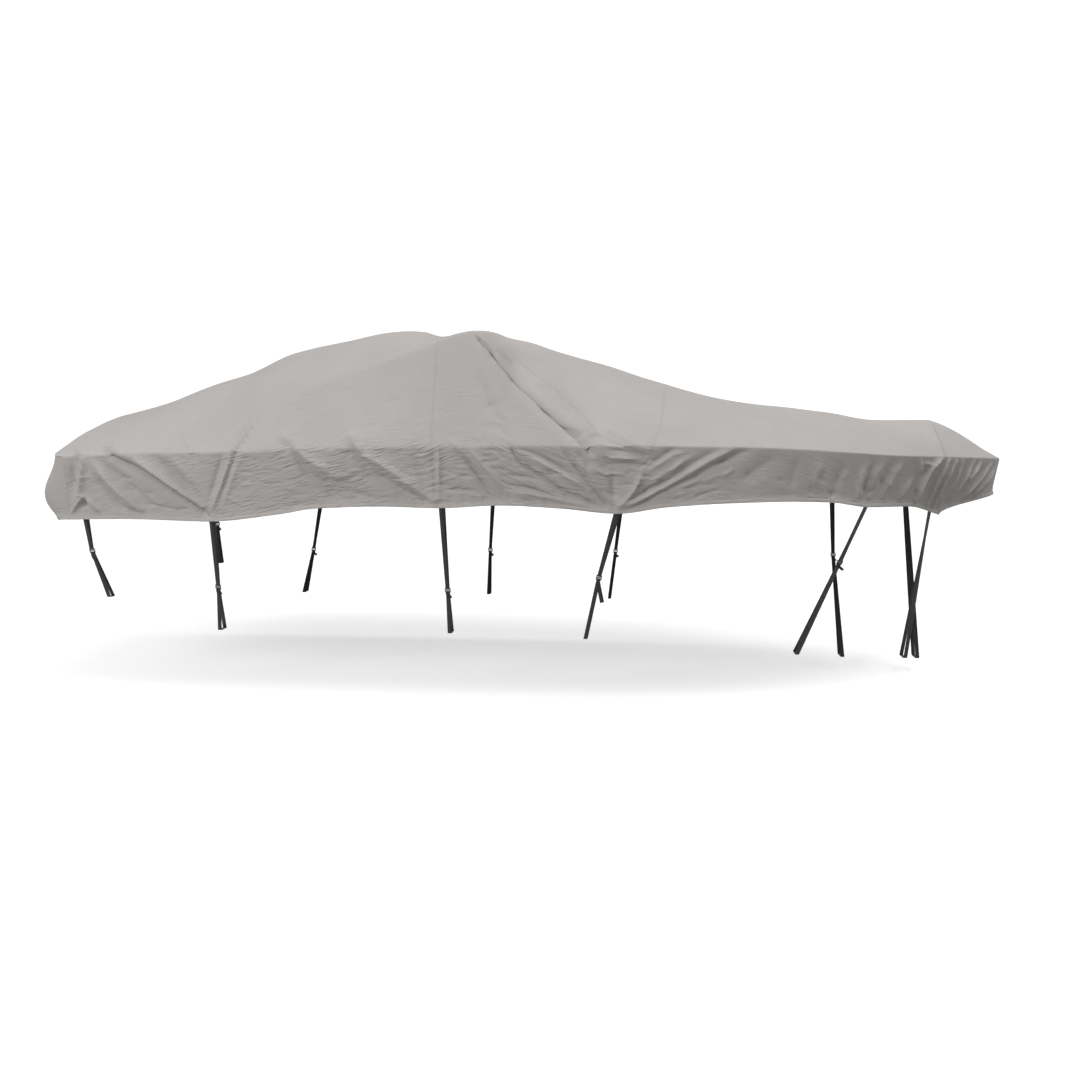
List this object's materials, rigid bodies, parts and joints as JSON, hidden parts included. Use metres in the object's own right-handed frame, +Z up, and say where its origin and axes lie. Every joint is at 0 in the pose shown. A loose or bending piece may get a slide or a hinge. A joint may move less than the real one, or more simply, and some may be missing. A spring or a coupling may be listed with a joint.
{
  "type": "fitted boat cover with tie-down straps",
  "caption": "Hollow fitted canvas cover for an open runabout, held down by webbing straps with slide buckles that run round the trailer's frame.",
  "frame": {"origin": "underside of the cloth at its highest point, where a support pole holds it up", "axes": "+X to the bow, +Y to port, +Z up"},
  "size_m": [6.053, 2.2686, 2.1924],
  "materials": {
    "cover_canvas": "matt coated polyester canvas, light grey",
    "strap_webbing": "black woven webbing, 25 mm",
    "buckle_plastic": "satin black moulded plastic"
  },
  "bodies": {
    "root": {"transom_drop": "cover_canvas", "aft_width": "cover_canvas", "middle_width": "cover_canvas", "fore_width": "cover_canvas", "bow_width": "cover_canvas", "strap_starboard_1": "strap_webbing", "strap_loop_starboard_1": "strap_webbing", "buckle_starboard_1": "buckle_plastic", "strap_starboard_2": "strap_webbing", "strap_loop_starboard_2": "strap_webbing", "buckle_starboard_2": "buckle_plastic", "strap_starboard_3": "strap_webbing", "strap_loop_starboard_3": "strap_webbing", "buckle_starboard_3": "buckle_plastic", "strap_starboard_4": "strap_webbing", "strap_loop_starboard_4": "strap_webbing", "buckle_starboard_4": "buckle_plastic", "strap_starboard_5": "strap_webbing", "strap_loop_starboard_5": "strap_webbing", "buckle_starboard_5": "buckle_plastic", "strap_starboard_6": "strap_webbing", "strap_port_1": "strap_webbing", "strap_loop_port_1": "strap_webbing", "buckle_port_1": "buckle_plastic", "strap_port_2": "strap_webbing", "strap_loop_port_2": "strap_webbing", "buckle_port_2": "buckle_plastic", "strap_port_3": "strap_webbing", "strap_loop_port_3": "strap_webbing", "buckle_port_3": "buckle_plastic", "strap_port_4": "strap_webbing", "strap_loop_port_4": "strap_webbing", "buckle_port_4": "buckle_plastic", "strap_port_5": "strap_webbing", "strap_loop_port_5": "strap_webbing", "buckle_port_5": "buckle_plastic", "strap_port_6": "strap_webbing"}
  },
  "joints": []
}
